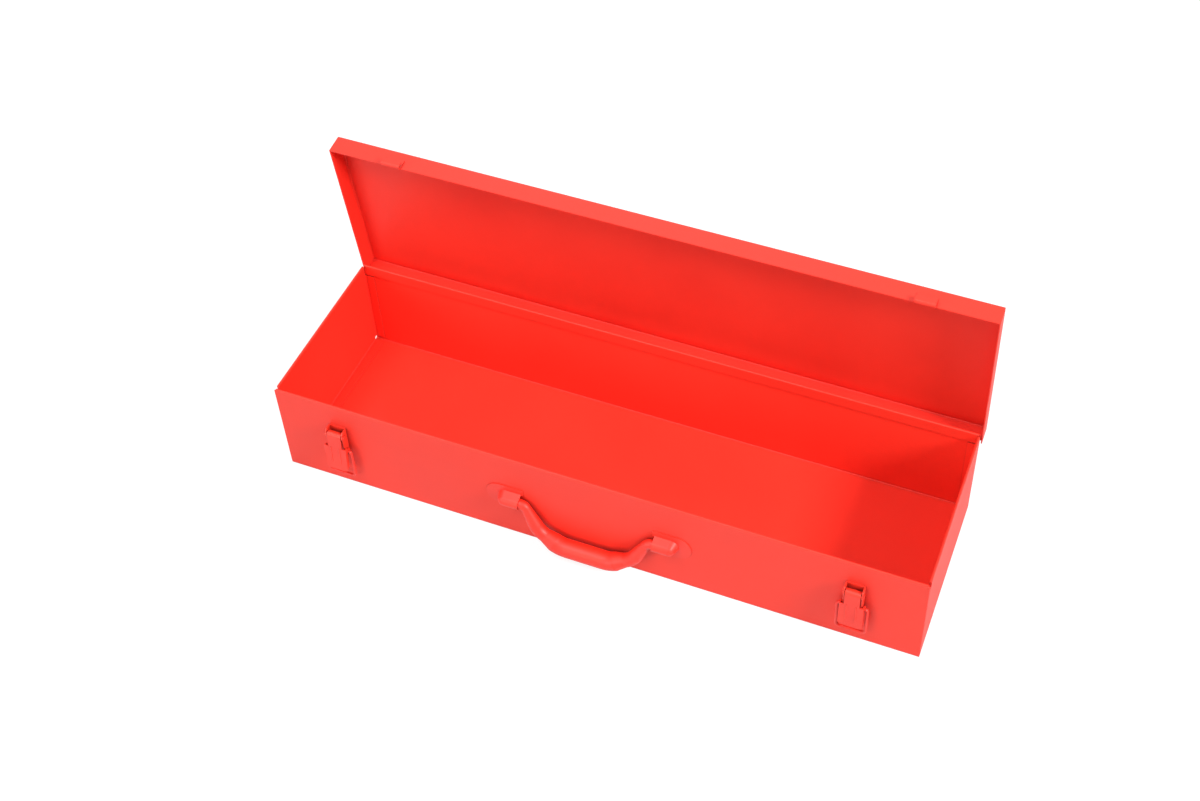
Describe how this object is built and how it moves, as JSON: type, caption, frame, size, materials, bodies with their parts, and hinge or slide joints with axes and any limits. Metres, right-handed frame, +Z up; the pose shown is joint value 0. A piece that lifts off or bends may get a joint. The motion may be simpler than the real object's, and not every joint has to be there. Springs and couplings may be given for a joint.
{
  "type": "tool box",
  "caption": "Long shallow sheet-steel tool case with a full-length hinged lid, draw latches with wire bails and a drop handle on the front.",
  "frame": {"origin": "centre of the case's flat underside", "axes": "+X along the case's length to the right seen from the latch side, +Y to the hinge side, +Z up"},
  "size_m": [0.6034, 0.208, 0.2651],
  "materials": {
    "case_paint": "smooth satin powder coat",
    "lid_paint": "smooth satin powder coat",
    "latch_paint": "smooth satin powder coat over stamped steel",
    "handle_paint": "smooth satin powder coat",
    "hinge_wire": "bare drawn steel wire"
  },
  "bodies": {
    "case": {"body_shell": "case_paint", "end_panel_left": "case_paint", "end_panel_right": "case_paint", "hinge_body_leaf": "case_paint", "hinge_pin": "hinge_wire", "latch_base_left": "latch_paint", "latch_base_right": "latch_paint", "latch_rivets": "latch_paint", "latch_pin_left": "latch_paint", "latch_pin_right": "latch_paint", "handle_bracket_left": "handle_paint", "handle_bracket_right": "handle_paint"},
    "lid": {"lid_shell": "lid_paint", "hinge_lid_leaf": "lid_paint", "lid_catch_left": "lid_paint", "lid_catch_right": "lid_paint"},
    "handle": {"handle_bow": "handle_paint"},
    "lever_left": {"latch_lever_left": "latch_paint"},
    "lever_right": {"latch_lever_right": "latch_paint"},
    "bail_left": {"latch_bail_left": "latch_paint"},
    "bail_right": {"latch_bail_right": "latch_paint"}
  },
  "joints": [
    {"name": "lid_hinge", "type": "hinge", "parent": "case", "child": "lid", "pos_m": [0, 0.0873, 0.0871], "axis": [-1, 0, 0], "range_deg": [-83.5, 105]},
    {"name": "handle_pivot", "type": "hinge", "parent": "case", "child": "handle", "pos_m": [0, -0.0893, 0.0518], "axis": [-1, 0, 0], "range_deg": [-1.5, 162]},
    {"name": "latch_lever_left", "type": "hinge", "parent": "case", "child": "lever_left", "pos_m": [-0.24, -0.0908, 0.072], "axis": [-1, 0, 0], "range_deg": [-4.5, 145.5]},
    {"name": "latch_bail_left", "type": "hinge", "parent": "lever_left", "child": "bail_left", "pos_m": [-0.24, -0.09095, 0.05355], "axis": [1, 0, 0], "range_deg": [-185.53, 0.5]},
    {"name": "latch_lever_right", "type": "hinge", "parent": "case", "child": "lever_right", "pos_m": [0.24, -0.0908, 0.072], "axis": [-1, 0, 0], "range_deg": [-2, 148]},
    {"name": "latch_bail_right", "type": "hinge", "parent": "lever_right", "child": "bail_right", "pos_m": [0.24, -0.09014, 0.05357], "axis": [1, 0, 0], "range_deg": [-183.03, 3]}
  ]
}
